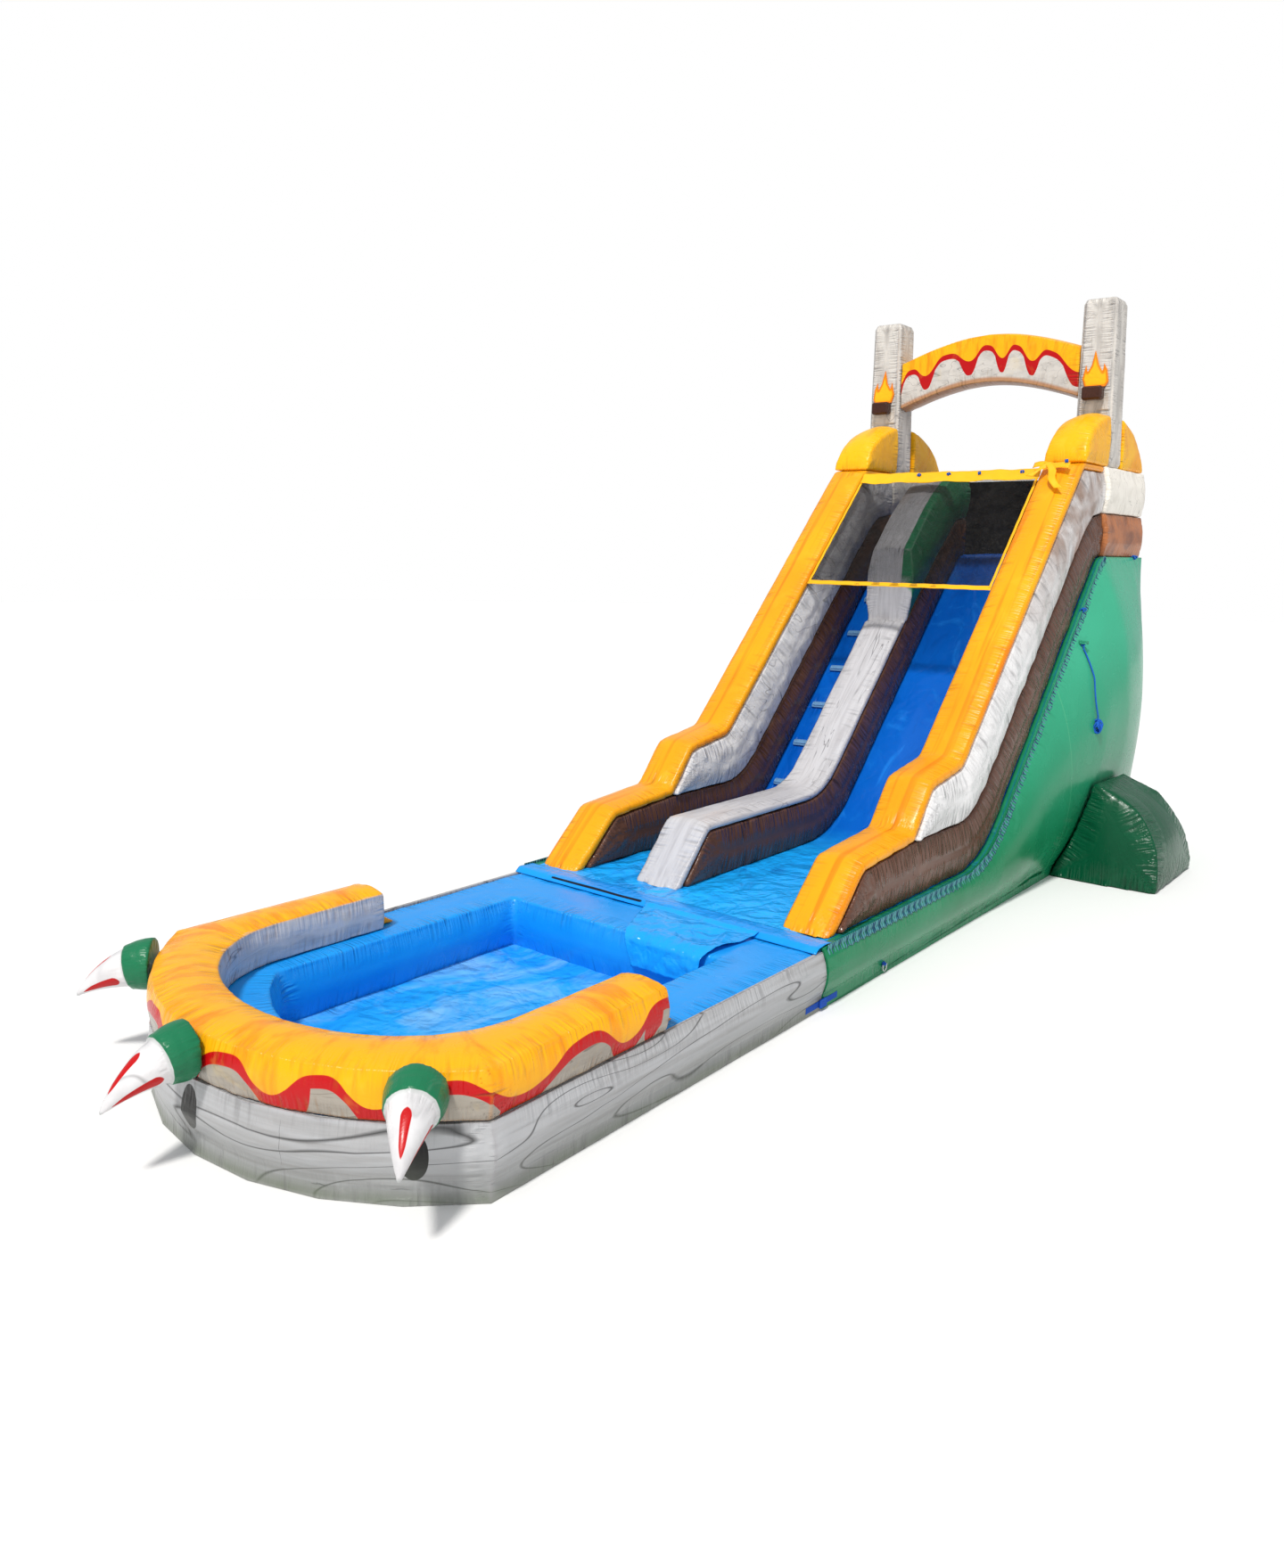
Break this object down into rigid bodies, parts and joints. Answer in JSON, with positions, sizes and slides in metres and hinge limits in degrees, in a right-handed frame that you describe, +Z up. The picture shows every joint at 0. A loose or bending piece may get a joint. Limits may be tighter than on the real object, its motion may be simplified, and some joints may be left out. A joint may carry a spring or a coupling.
{
  "type": "inflatable water slide",
  "caption": "Tall inflatable water slide with a climbing lane, netted top, arch between pillars, and a splash pool ringed by a raised tube with curved claws.",
  "frame": {"origin": "centre of the footprint on the ground, the tie rope left out", "axes": "+Z up; +Y from the pool towards the tall end; +X to the sliding lane's side, so the climbing lane is at -X"},
  "size_m": [5.2346, 12.041, 6.14],
  "materials": {
    "yellow_vinyl": "semi-gloss coated vinyl",
    "brown_vinyl": "glossy dark red-brown coated vinyl",
    "marbled_vinyl": "grey coated vinyl printed with rock veins",
    "tan_vinyl": "semi-gloss coated vinyl",
    "blue_vinyl": "wet glossy coated vinyl",
    "green_vinyl": "semi-gloss coated vinyl",
    "black_mesh": "woven net",
    "blue_webbing": "woven webbing and braid",
    "plated_steel": "zinc plated",
    "black_plastic": "coil zip"
  },
  "bodies": {
    "slide": {"arch": "yellow_vinyl", "claw_front": "green_vinyl", "claw_left": "green_vinyl", "claw_right": "green_vinyl", "climb_bed": "blue_vinyl", "divider_base": "brown_vinyl", "divider_cap": "marbled_vinyl", "divider_crest": "marbled_vinyl", "dome_front_left": "yellow_vinyl", "dome_front_right": "yellow_vinyl", "dome_rear_left": "yellow_vinyl", "dome_rear_right": "yellow_vinyl", "flap_tongue": "blue_vinyl", "front_net": "black_mesh", "front_tab_left": "blue_webbing", "front_tab_right": "blue_webbing", "horseshoe": "yellow_vinyl", "hull_back": "green_vinyl", "hull_floor": "green_vinyl", "hull_side_left": "green_vinyl", "hull_side_right": "green_vinyl", "inflation_sleeve": "green_vinyl", "inner_web_front": "green_vinyl", "inner_web_rear": "green_vinyl", "junction_flap": "blue_vinyl", "outrigger_left": "green_vinyl", "outrigger_right": "green_vinyl", "pillar_left": "marbled_vinyl", "pillar_right": "marbled_vinyl", "platform": "blue_vinyl", "pool_floor": "blue_vinyl", "pool_skirt": "marbled_vinyl", "pool_wall": "blue_vinyl", "rear_net": "black_mesh", "rear_tab_left": "blue_webbing", "rear_tab_right": "blue_webbing", "rope_knot": "blue_webbing", "slide_bed": "blue_vinyl", "tie_rope": "blue_webbing", "tie_strap_left": "blue_webbing", "tie_strap_right": "blue_webbing", "torch_left": "brown_vinyl", "torch_right": "brown_vinyl", "tower_lower_left": "tan_vinyl", "tower_lower_right": "tan_vinyl", "tower_upper_left": "marbled_vinyl", "tower_upper_right": "marbled_vinyl", "wall_base_left": "brown_vinyl", "wall_base_right": "brown_vinyl", "wall_cap_left": "yellow_vinyl", "wall_cap_right": "yellow_vinyl", "wall_panel_left": "marbled_vinyl", "wall_panel_right": "marbled_vinyl", "zip_tape": "black_plastic"},
    "front_ring_right": {"front_ring_right": "plated_steel"},
    "front_ring_left": {"front_ring_left": "plated_steel"},
    "rear_ring_right": {"rear_ring_right": "plated_steel"},
    "rear_ring_left": {"rear_ring_left": "plated_steel"},
    "zip_slider": {"zip_slider": "plated_steel"}
  },
  "joints": [
    {"name": "front_ring_right_swing", "type": "hinge", "parent": "slide", "child": "front_ring_right", "pos_m": [1.564, -0.59783, 0.075], "axis": [0, -1, 0], "range_deg": [-8, 120]},
    {"name": "front_ring_left_swing", "type": "hinge", "parent": "slide", "child": "front_ring_left", "pos_m": [-1.564, -0.59783, 0.075], "axis": [0, 1, 0], "range_deg": [-8, 120]},
    {"name": "rear_ring_right_swing", "type": "hinge", "parent": "slide", "child": "rear_ring_right", "pos_m": [1.564, 5.35016, 0.075], "axis": [0, -1, 0], "range_deg": [-8, 120]},
    {"name": "rear_ring_left_swing", "type": "hinge", "parent": "slide", "child": "rear_ring_left", "pos_m": [-1.564, 5.35016, 0.075], "axis": [0, 1, 0], "range_deg": [-8, 120]},
    {"name": "zip_slider_travel", "type": "slide", "parent": "slide", "child": "zip_slider", "axis": [1, 0, 0], "range_m": [0, 0.8]}
  ]
}
